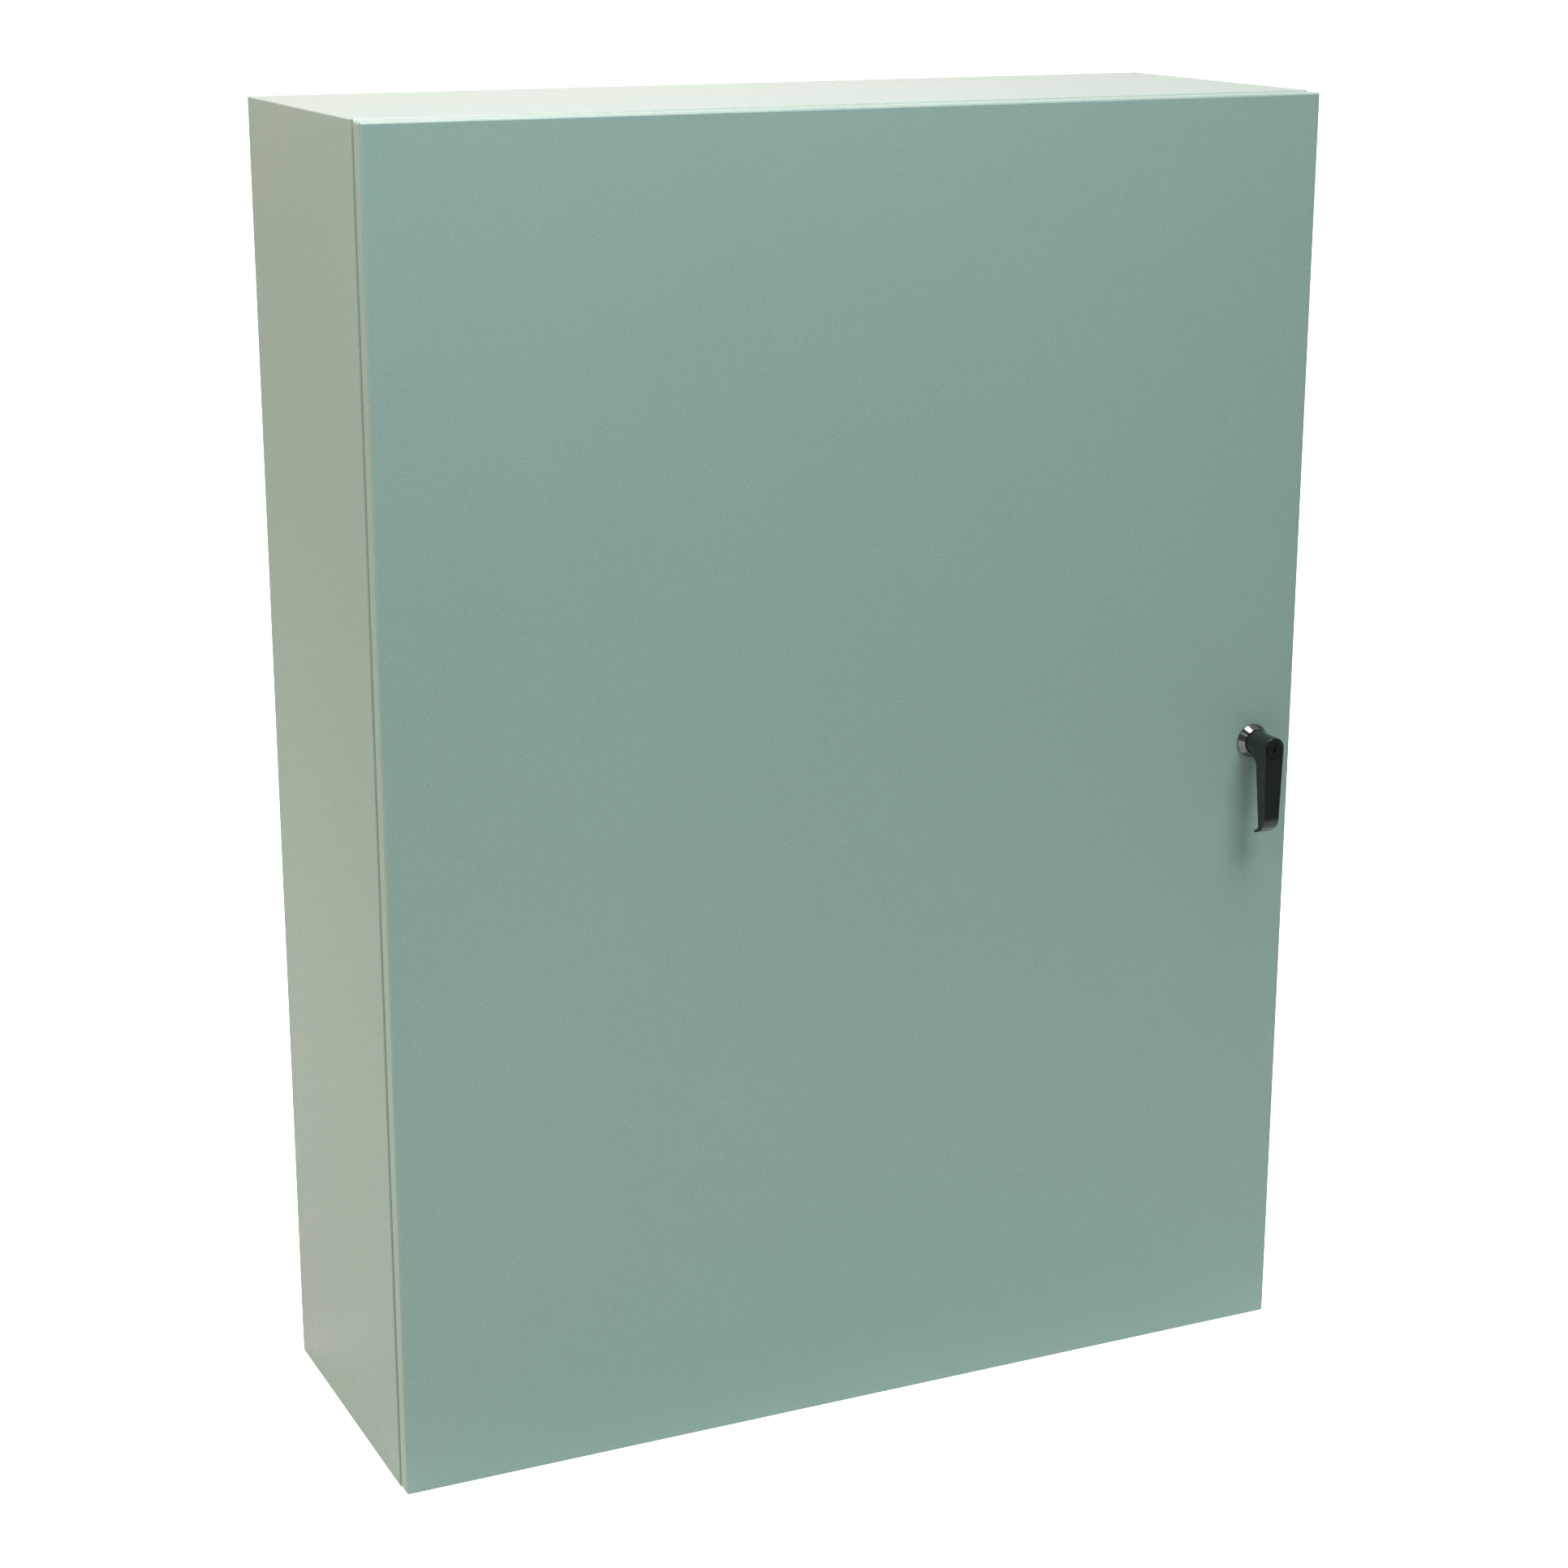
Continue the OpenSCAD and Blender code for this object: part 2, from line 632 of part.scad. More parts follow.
// Brackets on the door that keep each rod in line.
module rod_guide() difference() {
    union() {
        block([rod_x - 7, door_in_y, -9], [rod_x + 7, rod_mid_y + rod_half_y + 3.5, 9]);
        block([rod_x - 16, door_in_y, -14], [rod_x + 7, door_in_y + 2, 14]);
    }
    block([rod_x - rod_half_t - 0.3, rod_mid_y - rod_half_y - 0.3, -10],
          [rod_x + rod_half_t + 0.3, rod_mid_y + rod_half_y + 0.3, 10]);
    block([rod_x - 4, door_in_y + 3, -10], [rod_x + 4, rod_mid_y - rod_half_y - 3, 10]);
}

module rod_guides() color(black) {
    at_upper() for (z = guide_z) translate([0, 0, z]) rod_guide();
    at_lower() for (z = guide_z) translate([0, 0, z]) rod_guide();
}

// ---------------------------------------------------------------- rails and ducts

rail_len = 620;
rail_front_y = panel_y - 7.5;
upper_rail_z = 720;
lower_rail_z = 400;

module din_rails() color(zinc) for (z = [upper_rail_z, lower_rail_z])
    translate([0, 0, z]) along_x(-rail_len / 2, rail_len / 2)
        polygon(bent_strip([[rail_front_y, 17.5], [rail_front_y, 13.5], [panel_y - 1, 13.5],
                            [panel_y - 1, -13.5], [rail_front_y, -13.5],
                            [rail_front_y, -17.5]], 1, 0.4));

duct_w = 40;
duct_d = 60;
duct_t = 1.6;
duct_root = 18;
duct_pitch = 12.5;
duct_slot = 4.5;
side_duct_x = 380;
side_duct_len = 1040;
cross_duct_len = 710;
cross_duct_z = [110, mid_z, 1109];

// A comb along its own x: the slotted wall of a duct.
function comb(len) =
    let (n = floor(len / duct_pitch), first = (len - n * duct_pitch) / 2)
    concat([[0, 0], [len, 0], [len, duct_d]],
           [for (i = [n - 1:-1:0])
               let (c = first + (i + 0.5) * duct_pitch, s = duct_slot / 2)
               each [[c + s, duct_d], [c + s, duct_root], [c - s, duct_root], [c - s, duct_d]]],
           [[0, duct_d]]);

// A duct along x from the origin, its base at y = 0 and its mouth at -y.
module duct(len) {
    block([0, -duct_t, -duct_w / 2], [len, 0, duct_w / 2]);
    for (z = [-duct_w / 2, duct_w / 2 - duct_t])
        translate([0, 0, z]) linear_extrude(duct_t) mirror([0, 1]) polygon(comb(len));
}

module duct_cover(len) along_x(0.2, len - 0.2)
    polygon(bent_strip([[-duct_d + 8, duct_w / 2 + 2], [-duct_d - 1.8, duct_w / 2 + 2],
                        [-duct_d - 1.8, -duct_w / 2 - 2], [-duct_d + 8, -duct_w / 2 - 2]],
                       duct_t, 0.6));

// Children are drawn once for each duct, along x from the origin, with $len as the length.
module at_ducts() {
    for (x = [-side_duct_x, side_duct_x])
        translate([x, panel_y, mid_z - side_duct_len / 2]) rotate([0, -90, 0])
            let ($len = side_duct_len) children();
    for (z = cross_duct_z)
        translate([-cross_duct_len / 2, panel_y, z]) let ($len = cross_duct_len) children();
}

module wiring_ducts() color(plastic) at_ducts() duct($len);
module duct_covers() color(plastic) at_ducts() duct_cover($len);

// ---------------------------------------------------------------- main breaker and busbars

breaker_x = -235;
breaker_z = 905;
breaker_w = 105;
breaker_h = 165;
breaker_d = 70;
nose_w = 47;
nose_h = 92;
nose_d = 16;
breaker_face_y = panel_y - breaker_d;
nose_face_y = breaker_face_y - nose_d;
pole_pitch = 35;
toggle_axis_y = nose_face_y + 9;

module main_breaker_case() color(black) translate([breaker_x, 0, breaker_z]) difference() {
    union() {
        along_x(-breaker_w / 2, breaker_w / 2)
            polygon(rounded([[panel_y, -breaker_h / 2], [panel_y, breaker_h / 2],
                             [breaker_face_y + 18, breaker_h / 2],
                             [breaker_face_y + 18, breaker_h / 2 - 24],
                             [breaker_face_y, breaker_h / 2 - 24],
                             [breaker_face_y, -breaker_h / 2 + 24],
                             [breaker_face_y + 18, -breaker_h / 2 + 24],
                             [breaker_face_y + 18, -breaker_h / 2]],
                            [1, 1, 2, 1, 2, 2, 1, 2]));
        along_x(-nose_w / 2, nose_w / 2)
            polygon(rounded([[breaker_face_y + 2, -nose_h / 2], [breaker_face_y + 2, nose_h / 2],
                             [nose_face_y, nose_h / 2 - 8], [nose_face_y, -nose_h / 2 + 8]],
                            [0, 0, 3, 3]));
    }
    // Wells for the cable lugs, one for each pole at both ends.
    for (i = [-1:1], s = [-1, 1])
        block([i * pole_pitch - 12, panel_y - 38, min(s * 62, s * 90)],
              [i * pole_pitch + 12, panel_y - 14, max(s * 62, s * 90)]);
    // Screwdriver holes above the lugs.
    for (i = [-1:1], s = [-1, 1])
        bar_y(i * pole_pitch, s * 70, breaker_face_y - 1, panel_y - 30, 5);
    // Window in which the toggle swings.
    block([-8.3, nose_face_y - 1, -25], [8.3, nose_face_y + 18, 25]);
}

module main_breaker_lugs() color(copper) translate([breaker_x, 0, breaker_z])
    for (i = [-1:1], s = [-1, 1]) {
        block([i * pole_pitch - 9, panel_y - 18, min(s * 62.5, s * 81)],
              [i * pole_pitch + 9, panel_y - 14.2, max(s * 62.5, s * 81)]);
        bar_y(i * pole_pitch, s * 70, panel_y - 24, panel_y - 17.5, 4.5);
    }

// A toggle on a cross axis: half width, hub radius, lever length and half thickness.
module toggle(half, hub, reach, thick) {
    bar_x(0, 0, -half, half, hub);
    along_x(-half, half)
        polygon(rounded([[0, -hub * 0.85], [-reach, -thick], [-reach, thick], [0, hub * 0.85]],
                        [0, 1, 1, 0]));
}

main_toggle_rest = 24;

module main_breaker_toggle() color(black)
    translate([breaker_x, toggle_axis_y, breaker_z]) rotate([main_toggle_rest, 0, 0])
        toggle(8, 7, 27, 3.5);

busbar_x = [-120, 330];
busbar_w = 20;
busbar_t = 5;
busbar_z = [955, 915, 875];
busbar_out = [70, 55, 40];
support_x = [-85, 295];

module phase_busbars() color(copper) for (i = [0:2]) difference() {
    block([busbar_x[0], panel_y - busbar_out[i] - busbar_t, busbar_z[i] - busbar_w / 2],
          [busbar_x[1], panel_y - busbar_out[i], busbar_z[i] + busbar_w / 2]);
    for (x = support_x)
        bar_y(x, busbar_z[i], panel_y - 100, panel_y, 3.3);
}

module busbar_supports() color("firebrick") for (x = support_x) translate([x, 0, 0])
    difference() {
        along_x(-12, 12) polygon(rounded(
            [[panel_y, busbar_z[2] - 22], [panel_y, busbar_z[0] + 22],
             [panel_y - busbar_out[0], busbar_z[0] + 16],
             [panel_y - busbar_out[0], busbar_z[0] - 20],
             [panel_y - busbar_out[1], busbar_z[0] - 20],
             [panel_y - busbar_out[1], busbar_z[1] - 20],
             [panel_y - busbar_out[2], busbar_z[1] - 20],
             [panel_y - busbar_out[2], busbar_z[2] - 16]],
            [1, 1, 4, 1, 1, 1, 1, 4]));
        for (i = [0:2])
            bar_y(0, busbar_z[i], panel_y - 100, panel_y - busbar_out[i] + 14, 3 + fit);
    }

module busbar_screws() color(zinc) for (x = support_x, i = [0:2]) translate([x, 0, busbar_z[i]]) {
    y = panel_y - busbar_out[i];
    bar_y(0, 0, y - busbar_t - 2, y + 13, 3);
    bar_y(0, 0, y - busbar_t - 1.2, y - busbar_t, 7);
    hex_y(0, 0, y - busbar_t - 5.2, y - busbar_t - 1.2, 10);
}

// ---------------------------------------------------------------- branch breakers

branch_pitch = 17.8;
branch_w = 17.5;
branch_x = [for (i = [0:branch_count - 1]) (i - (branch_count - 1) / 2) * branch_pitch];
branch_face_y = rail_front_y - 62;
branch_axis_y = branch_face_y + 6;
branch_toggle_rest = 26;

module branch_case() difference() {
    along_x(-branch_w / 2, branch_w / 2) polygon(rounded(
        [[rail_front_y, -42], [rail_front_y, 42], [branch_face_y + 17, 42],
         [branch_face_y + 17, 23], [branch_face_y, 22.5], [branch_face_y, -22.5],
         [branch_face_y + 17, -23], [branch_face_y + 17, -42]],
        [2, 2, 2, 1, 1.5, 1.5, 1, 2]));
    block([-4.3, branch_face_y - 1, -12], [4.3, branch_face_y + 13, 12]);
    for (z = [-33, 33]) bar_y(0, z, branch_face_y + 10, branch_face_y + 27, 3.4);
    for (z = [-33, 33]) bar_y(0, z, branch_face_y + 10, branch_face_y + 24, 4.2);
}

module branch_breaker_cases() color(white) for (x = branch_x)
    translate([x, 0, upper_rail_z]) branch_case();

module branch_toggle(i) color(black)
    translate([branch_x[i], branch_axis_y, upper_rail_z]) rotate([branch_toggle_rest, 0, 0])
        toggle(4, 5, 15.5, 1.8);

// ---------------------------------------------------------------- terminals and bars

terminal_pitch = 6.2;
terminal_w = 6;
terminal_x0 = -terminal_count * terminal_pitch / 2;

module terminal_outline() polygon(rounded(
    [[rail_front_y, -24], [rail_front_y, 24], [rail_front_y - 12, 27], [rail_front_y - 30, 24],
     [rail_front_y - 42, 13], [rail_front_y - 42, -13], [rail_front_y - 30, -24],
     [rail_front_y - 12, -27]],
    [1, 1, 2, 2, 2, 2, 2, 2]));

module terminal_blocks() color(plastic) for (i = [0:terminal_count - 1])
    translate([terminal_x0 + i * terminal_pitch, 0, lower_rail_z]) difference() {
        along_x(0.1, 0.1 + terminal_w) terminal_outline();
        for (z = [-8, 8])
            bar_y(0.1 + terminal_w / 2, z, rail_front_y - 50, rail_front_y - 36, 2.1);
    }

module terminal_end_stops() color(plastic)
    for (x = [terminal_x0 - 9.6, terminal_x0 + terminal_count * terminal_pitch + 0.1])
        translate([x, 0, lower_rail_z]) along_x(0, 9.5)
            polygon(round_rect(rail_front_y - 30, -22, rail_front_y, 22, 2));

bar_len = 260;
bar_z0 = 250;
bar_pitch = 18;
bar_x = [-180, 180];
bar_y0 = panel_y - 34;
bar_holes = [for (i = [0:12]) -6 * bar_pitch + i * bar_pitch];

// A connection bar with a wire hole and a clamp screw at every pitch.
module connection_bar(x) translate([x, 0, bar_z0]) difference() {
    block([-bar_len / 2, bar_y0, -7], [bar_len / 2, bar_y0 + 12, 7]);
    for (dx = bar_holes) {
        translate([dx, bar_y0 + 7, -8]) cylinder(h = 16, r = 2.75);
        bar_y(dx, 0, bar_y0 - 1, bar_y0 + 7, 2.5 + fit);
    }
}

module neutral_bar() color("goldenrod") connection_bar(bar_x[0]);
module earth_bar() color("goldenrod") connection_bar(bar_x[1]);

module bar_supports() color(plastic) for (x = bar_x, s = [-1, 1])
    translate([x + s * (bar_len / 2 - 8), 0, bar_z0])
        hex_y(0, 0, bar_y0 + 12, panel_y, 16);

module bar_screws() color(zinc) for (x = bar_x, dx = bar_holes)
    translate([x + dx, 0, bar_z0]) difference() {
        union() {
            bar_y(0, 0, bar_y0 - 0.5, bar_y0 + 3.8, 2.5);
            bar_y(0, 0, bar_y0 - 3, bar_y0, 4);
        }
        block([-4.5, bar_y0 - 4, -0.6], [4.5, bar_y0 - 1.6, 0.6]);
    }

// ---------------------------------------------------------------- nodes

back_panel();
left_side_panel();
right_side_panel();
top_panel();
bottom_panel();
gland_plate();
gland_plate_gasket();
gland_plate_screws();
panel_studs();
panel_nuts();
mounting_panel();
hinge_frame_leaves();
hinge_pins();
hinge_screws();
body_ground_stud();
din_rails();
wiring_ducts();
duct_covers();
main_breaker_case();
main_breaker_toggle();
main_breaker_lugs();
phase_busbars();
busbar_supports();
busbar_screws();
branch_breaker_cases();
for (i = [0:branch_count - 1])
    branch_toggle(i);
terminal_blocks();
terminal_end_stops();
neutral_bar();
earth_bar();
bar_supports();
bar_screws();
door_skin();
door_stiffeners();
door_gasket();
document_pocket();
hinge_door_leaves();
handle_housing();
handle_gasket();
housing_nut();
rod_guides();
door_ground_stud();
handle_lever();
handle_spindle();
latch_cam();
cam_screw();
lock_plug();
upper_rod();
upper_roller_pin();
upper_roller();
lower_rod();
lower_roller_pin();
lower_roller();
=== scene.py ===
"""Industrial switchboard cabinet: looks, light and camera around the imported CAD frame.

Metres, in the row frame: X along the width, -Y is the door side, Z up, the body's base at z = 0.
"""

import math

import bmesh
import bpy
from mathutils import Matrix, Vector


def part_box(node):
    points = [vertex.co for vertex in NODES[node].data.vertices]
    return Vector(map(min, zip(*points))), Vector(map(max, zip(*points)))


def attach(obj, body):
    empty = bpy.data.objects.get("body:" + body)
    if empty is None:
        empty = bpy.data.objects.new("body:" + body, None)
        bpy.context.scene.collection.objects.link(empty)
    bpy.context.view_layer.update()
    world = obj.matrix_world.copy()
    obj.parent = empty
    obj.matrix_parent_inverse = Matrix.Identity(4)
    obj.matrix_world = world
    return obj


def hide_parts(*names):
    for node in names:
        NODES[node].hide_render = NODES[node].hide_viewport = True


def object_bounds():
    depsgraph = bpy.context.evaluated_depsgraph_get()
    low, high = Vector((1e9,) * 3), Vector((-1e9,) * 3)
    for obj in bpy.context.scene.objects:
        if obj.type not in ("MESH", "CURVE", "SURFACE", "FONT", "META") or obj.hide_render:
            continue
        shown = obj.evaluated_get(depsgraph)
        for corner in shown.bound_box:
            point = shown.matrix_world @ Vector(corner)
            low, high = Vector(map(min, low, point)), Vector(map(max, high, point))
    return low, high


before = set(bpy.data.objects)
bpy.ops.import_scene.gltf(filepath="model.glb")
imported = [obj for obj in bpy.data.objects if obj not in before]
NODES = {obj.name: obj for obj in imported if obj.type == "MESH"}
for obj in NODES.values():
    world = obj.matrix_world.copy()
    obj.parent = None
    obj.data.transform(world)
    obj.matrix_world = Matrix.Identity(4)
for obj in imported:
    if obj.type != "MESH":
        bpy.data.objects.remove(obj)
CAD_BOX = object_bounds()
SCENE = bpy.context.scene
MM = 0.001

# ------------------------------------------------------------------ camera

CAMERA_AT = Vector((-1.2218, -2.6191, 1.4023))
CAMERA_AZIMUTH = math.radians(24.964)
CAMERA_DOWN = math.radians(16.066)
CAMERA_ROLL = math.radians(0.082)
CAMERA_LENS = 71.912
SENSOR = 36.0


def add_camera():
    data = bpy.data.cameras.new("camera")
    data.sensor_width = SENSOR
    data.lens = CAMERA_LENS
    data.clip_end = 60.0
    camera = bpy.data.objects.new("camera", data)
    SCENE.collection.objects.link(camera)
    level = Matrix.Rotation(-CAMERA_AZIMUTH, 4, "Z")
    tilt = Matrix.Rotation(math.pi / 2 - CAMERA_DOWN, 4, "X")
    roll = Matrix.Rotation(CAMERA_ROLL, 4, "Z")
    camera.matrix_world = Matrix.Translation(CAMERA_AT) @ level @ tilt @ roll
    SCENE.camera = camera


# ------------------------------------------------------------------ light and floor

WORLD_BACK = (1.098, 0.968, 0.956)
WORLD_FRONT = (0.030, 0.110, 0.092)
WORLD_BLEND = 0.6
FLOOR_NEAR = (0.75, 0.79, 0.775)
FLOOR_FAR = (0.03, 0.03, 0.03)
FLOOR_FADE_WAY = (0.6, -0.8, 0)
FLOOR_FADE = (1.3, 2.1)
FLOOR_LIFT = 1.0
FLOOR_GLOW = 0.37
FLOOR_GLOW_REACH = 0.11
FLOOR_SIZE = 60.0
KEY_WAY = Vector((0.08, -0.50, 0.86))
KEY_DISTANCE = 14
KEY_COLOUR = (0.841, 0.991, 1)
OVERHEAD_COLOUR = (1, 0.78, 0.80)
LEFT_COLOUR = (1, 0.746, 0.401)
TOP_COLOUR = (0.691, 0.860, 1)
RIGHT_COLOUR = (0.819, 0.884, 1)
GLINT_WAY = Vector((-0.10, -0.24, 0.97))
GLINT_DISTANCE = 2
WHITE = (1, 1, 1)


def add_area_light(name, at, towards, size, power, colour):
    data = bpy.data.lights.new(name, "AREA")
    data.shape = "RECTANGLE"
    data.size, data.size_y = size
    data.energy = power
    data.color = colour
    light = bpy.data.objects.new(name, data)
    SCENE.collection.objects.link(light)
    light.location = at
    light.rotation_mode = "QUATERNION"
    light.rotation_quaternion = (towards - at).to_track_quat("-Z", "Y")
    light.visible_camera = False
    return light


def add_lights():
    """A far key high in front gives the shadows, near panels even out the rest."""
    middle = (CAD_BOX[0] + CAD_BOX[1]) / 2
    top = Vector((0, 0, CAD_BOX[1].z))
    lock = Vector((0.41, CAD_BOX[0].y, middle.z))
    key_at = lock + KEY_DISTANCE * KEY_WAY
    add_area_light("key", key_at, lock, (5.2, 8.8), 1400, KEY_COLOUR)
    above = top + Vector((-0.3, 0.2, 1.3))
    lid = top - Vector((0.1, 0, 0))
    add_area_light("overhead", above, lid, (1.4, 0.5), 28, OVERHEAD_COLOUR)
    left = middle + Vector((-3.4, 0.3, 0.2))
    left_fill = add_area_light("left_fill", left, middle, (2.4, 2.4), 34, LEFT_COLOUR)
    left_fill.visible_glossy = False
    door_left = Vector((-0.15, -0.17, 1.0))
    door_right = Vector((0.35, -0.17, 1.0))
    panel = (0.9, 0.4)
    add_area_light("top_fill", Vector((-0.7, -1.15, 1.75)), door_left, panel, 5.0, TOP_COLOUR)
    add_area_light("right_fill", Vector((0.5, -1.15, 1.8)), door_right, panel, 4.7, RIGHT_COLOUR)
    glint_at = lock + GLINT_DISTANCE * GLINT_WAY
    glint = add_area_light("glint", glint_at, lock, (1.1, 0.5), 15, WHITE)
    glint.visible_diffuse = False


def colour_mix(tree, factor, a, b):
    """Colour a where factor is 0, b where it is 1; either may be a colour or a socket."""
    node = tree.nodes.new("ShaderNodeMix")
    node.data_type = "RGBA"
    tree.links.new(factor, node.inputs[0])
    for socket, value in ((node.inputs[6], a), (node.inputs[7], b)):
        if isinstance(value, tuple):
            socket.default_value = (*value, 1)
        else:
            tree.links.new(value, socket)
    return node.outputs[2]


def add_world():
    """Even pale surroundings: bright behind the cabinet, dimmer in front, white to the camera."""
    world = bpy.data.worlds.new("world")
    SCENE.world = world
    world.use_nodes = True
    nodes, links = world.node_tree.nodes, world.node_tree.links
    nodes.clear()
    output = nodes.new("ShaderNodeOutputWorld")
    seen = nodes.new("ShaderNodeBackground")
    around = nodes.new("ShaderNodeBackground")
    mix = nodes.new("ShaderNodeMixShader")
    path = nodes.new("ShaderNodeLightPath")
    coords = nodes.new("ShaderNodeTexCoord")
    split = nodes.new("ShaderNodeSeparateXYZ")
    spread = nodes.new("ShaderNodeMapRange")
    spread.interpolation_type = "SMOOTHSTEP"
    spread.inputs["From Min"].default_value = -WORLD_BLEND
    spread.inputs["From Max"].default_value = WORLD_BLEND
    seen.inputs["Color"].default_value = (*WHITE, 1)
    links.new(coords.outputs["Generated"], split.inputs[0])
    links.new(split.outputs["Y"], spread.inputs["Value"])
    shade = colour_mix(world.node_tree, spread.outputs["Result"], WORLD_FRONT, WORLD_BACK)
    links.new(shade, around.inputs["Color"])
    links.new(path.outputs["Is Camera Ray"], mix.inputs["Fac"])
    links.new(around.outputs[0], mix.inputs[1])
    links.new(seen.outputs[0], mix.inputs[2])
    links.new(mix.outputs[0], output.inputs["Surface"])


def floor_shade(tree, place):
    """The floor's colour at a place: pale, and dark far out in front to the right."""
    along = tree.nodes.new("ShaderNodeVectorMath")
    along.operation = "DOT_PRODUCT"
    along.inputs[1].default_value = FLOOR_FADE_WAY
    fade = tree.nodes.new("ShaderNodeMapRange")
    fade.interpolation_type = "SMOOTHSTEP"
    fade.inputs["From Min"].default_value, fade.inputs["From Max"].default_value = FLOOR_FADE
    tree.links.new(place, along.inputs[0])
    tree.links.new(along.outputs["Value"], fade.inputs["Value"])
    return colour_mix(tree, fade.outputs["Result"], FLOOR_NEAR, FLOOR_FAR)


def base_glow(tree, place):
    """A faint glow that softens the contact shade: strongest at the base, gone a hand away."""
    low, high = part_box("left_side_panel")[0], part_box("right_side_panel")[1]
    low.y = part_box("door_skin")[0].y
    steps = (
        ("SUBTRACT", (low + high) / 2),
        ("ABSOLUTE", None),
        ("SUBTRACT", (high - low) / 2),
        ("MAXIMUM", (0, 0, 0)),
        ("LENGTH", None),
    )
    outward = place
    for operation, value in steps:
        step = tree.nodes.new("ShaderNodeVectorMath")
        step.operation = operation
        tree.links.new(outward, step.inputs[0])
        if value:
            step.inputs[1].default_value = value
        outward = step.outputs["Value" if operation == "LENGTH" else "Vector"]
    glow = tree.nodes.new("ShaderNodeMapRange")
    glow.inputs["From Max"].default_value = FLOOR_GLOW_REACH
    glow.inputs["To Min"].default_value = FLOOR_GLOW
    glow.inputs["To Max"].default_value = 0
    tree.links.new(outward, glow.inputs["Value"])
    return glow.outputs["Result"]


def floor_material():
    """Diffuse, plus light of its own: full to the camera, and the glow around the base."""
    material = bpy.data.materials.new("floor")
    material.use_nodes = True
    tree = material.node_tree
    nodes, links = tree.nodes, tree.links
    nodes.clear()
    output = nodes.new("ShaderNodeOutputMaterial")
    diffuse = nodes.new("ShaderNodeBsdfDiffuse")
    lift = nodes.new("ShaderNodeEmission")
    add = nodes.new("ShaderNodeAddShader")
    path = nodes.new("ShaderNodeLightPath")
    place = nodes.new("ShaderNodeTexCoord").outputs["Object"]
    strength = nodes.new("ShaderNodeMath")
    strength.operation = "MULTIPLY_ADD"
    strength.inputs[1].default_value = FLOOR_LIFT
    links.new(path.outputs["Is Camera Ray"], strength.inputs[0])
    links.new(base_glow(tree, place), strength.inputs[2])
    links.new(strength.outputs[0], lift.inputs["Strength"])
    links.new(floor_shade(tree, place), diffuse.inputs["Color"])
    links.new(diffuse.outputs[0], add.inputs[0])
    links.new(lift.outputs[0], add.inputs[1])
    links.new(add.outputs[0], output.inputs["Surface"])
    return material


def add_floor():
    half = FLOOR_SIZE / 2
    mesh = bpy.data.meshes.new("floor")
    corners = [(-half, -half, 0), (half, -half, 0), (half, half, 0), (-half, half, 0)]
    mesh.from_pydata(corners, [], [(0, 1, 2, 3)])
    mesh.materials.append(floor_material())
    floor = bpy.data.objects.new("floor", mesh)
    SCENE.collection.objects.link(floor)


# ------------------------------------------------------------------ materials


class Surface:
    """A material's node tree around one Principled shader, with short calls to add nodes."""

    def __init__(self, name, colour, roughness, metallic=0.0):
        self.material = bpy.data.materials.new(name)
        self.material.use_nodes = True
        self.tree = self.material.node_tree
        self.tree.nodes.clear()
        output = self.add("ShaderNodeOutputMaterial")
        self.shader = self.add("ShaderNodeBsdfPrincipled")
        self.join(self.shader.outputs["BSDF"], output.inputs["Surface"])
        self.shader.inputs["Base Color"].default_value = (*colour, 1)
        self.shader.inputs["Roughness"].default_value = roughness
        self.shader.inputs["Metallic"].default_value = metallic
        self.colour = colour
        self.coords = self.add("ShaderNodeTexCoord").outputs["Object"]

    def add(self, kind, **inputs):
        node = self.tree.nodes.new(kind)
        for name, value in inputs.items():
            node.inputs[name.replace("_", " ")].default_value = value
        return node

    def join(self, source, target):
        self.tree.links.new(source, target)

    def stretched(self, scale):
        """Coordinates stretched along each axis, for grain that runs one way."""
        mapping = self.add("ShaderNodeMapping", Scale=scale)
        self.join(self.coords, mapping.inputs["Vector"])
        return mapping.outputs[0]

    def noise(self, size, detail=2.0, roughness=0.5, coords=None):
        """Noise from 0 to 1 whose features are about size metres across."""
        node = self.add("ShaderNodeTexNoise", Scale=1 / size, Detail=detail, Roughness=roughness)
        self.join(coords or self.coords, node.inputs["Vector"])
        return node.outputs["Fac"]

    def cells(self, size, feature="F1"):
        node = self.add("ShaderNodeTexVoronoi", Scale=1 / size)
        node.feature = feature
        self.join(self.coords, node.inputs["Vector"])
        return node.outputs["Distance"]

    def ranged(self, value, low, high, start=0.3, end=0.7):
        """value's stretch from start to end, spread over low to high."""
        node = self.add("ShaderNodeMapRange", From_Min=start, From_Max=end, To_Min=low, To_Max=high)
        self.join(value, node.inputs["Value"])
        return node.outputs["Result"]

    def math(self, operation, a, b):
        node = self.add("ShaderNodeMath")
        node.operation = operation
        for socket, value in zip(node.inputs, (a, b)):
            if isinstance(value, (int, float)):
                socket.default_value = value
            else:
                self.join(value, socket)
        return node.outputs[0]

    def mixed(self, factor, a, b):
        return colour_mix(self.tree, factor, a, b)

    def tint(self, value, darker, lighter):
        """The base colour, scaled from darker to lighter by value, on top of what is there."""
        low = tuple(c * darker for c in self.colour)
        high = tuple(min(1.0, c * lighter) for c in self.colour)
        return self.mixed(value, low, high)

    def set_colour(self, socket):
        self.join(socket, self.shader.inputs["Base Color"])

    def set_roughness(self, socket):
        self.join(socket, self.shader.inputs["Roughness"])

    def bump(self, *layers):
        """Each layer is a height from 0 to 1 and its depth in metres."""
        normal = None
        for height, depth in layers:
            node = self.add("ShaderNodeBump", Strength=1.0, Distance=depth)
            self.join(height, node.inputs["Height"])
            if normal:
                self.join(normal, node.inputs["Normal"])
            normal = node.outputs["Normal"]
        self.join(normal, self.shader.inputs["Normal"])


